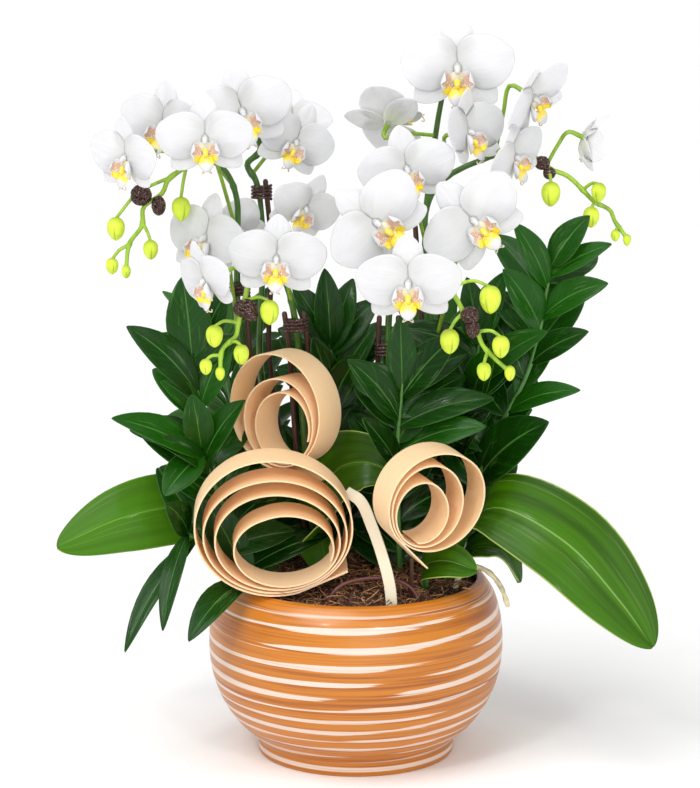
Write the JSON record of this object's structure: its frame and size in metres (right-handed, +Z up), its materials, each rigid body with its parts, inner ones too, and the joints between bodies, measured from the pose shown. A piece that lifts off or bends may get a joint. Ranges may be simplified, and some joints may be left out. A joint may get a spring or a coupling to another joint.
{
  "type": "potted orchid",
  "caption": "White moth orchid arrangement with glossy foliage and rolled veneer coils in a round-bellied striped glazed bowl.",
  "frame": {"origin": "centre of the bowl's flat underside", "axes": "+Z up along the bowl's axis, -Y towards the front that the blooms face, +X to the right seen from the front"},
  "size_m": [0.4135, 0.2964, 0.5234],
  "materials": {
    "glaze": "glossy, brushed caramel glaze with cream stripes",
    "mix": "loose bark",
    "moss": "dry fibrous",
    "petal": "soft satin",
    "spike": "smooth green",
    "strap_leaf": "glossy",
    "frond": "glossy",
    "stake": "satin",
    "veneer": "bare planed veneer",
    "strap": "bare veneer",
    "wire": "satin",
    "root": "matt"
  },
  "bodies": {
    "root": {"aerial_root": "root", "bloom_centre": "petal", "bloom_centre_back": "petal", "bloom_centre_upper": "petal", "bloom_front_left": "petal", "bloom_front_low": "petal", "bloom_front_profile": "petal", "bloom_left_back": "petal", "bloom_left_crown": "petal", "bloom_left_inner": "petal", "bloom_left_low": "petal", "bloom_left_outer": "petal", "bloom_left_shade": "petal", "bloom_left_side": "petal", "bloom_left_turned": "petal", "bloom_left_upper": "petal", "bloom_right_front": "petal", "bloom_right_mid": "petal", "bloom_right_opening": "petal", "bloom_right_small": "petal", "bloom_right_upper": "petal", "bloom_top": "petal", "bowed_wire": "wire", "bowl": "glaze", "coil_left": "veneer", "coil_pick": "stake", "coil_right": "veneer", "coil_top": "veneer", "frond_back_left": "frond", "frond_back_right": "frond", "frond_centre": "frond", "frond_left": "frond", "frond_left_drooping": "frond", "frond_left_low": "frond", "frond_middle": "frond", "frond_right": "frond", "frond_right_inner": "frond", "leaf_back": "strap_leaf", "leaf_centre": "strap_leaf", "leaf_left": "strap_leaf", "leaf_left_back": "strap_leaf", "leaf_right": "strap_leaf", "leaf_right_low": "strap_leaf", "leaf_right_round": "strap_leaf", "moss_cover": "moss", "potting_mix": "mix", "spike_centre": "spike", "spike_front_left": "spike", "spike_left_arch": "spike", "spike_left_tall": "spike", "spike_right": "spike", "stake_left_arch": "stake", "stake_left_tall": "stake", "stakes_centre": "stake", "stakes_front_left": "stake", "stakes_right": "stake", "veneer_strap": "strap", "wire_knot_centre": "wire", "wire_knot_front_left": "wire", "wire_knot_left": "wire"}
  },
  "joints": []
}
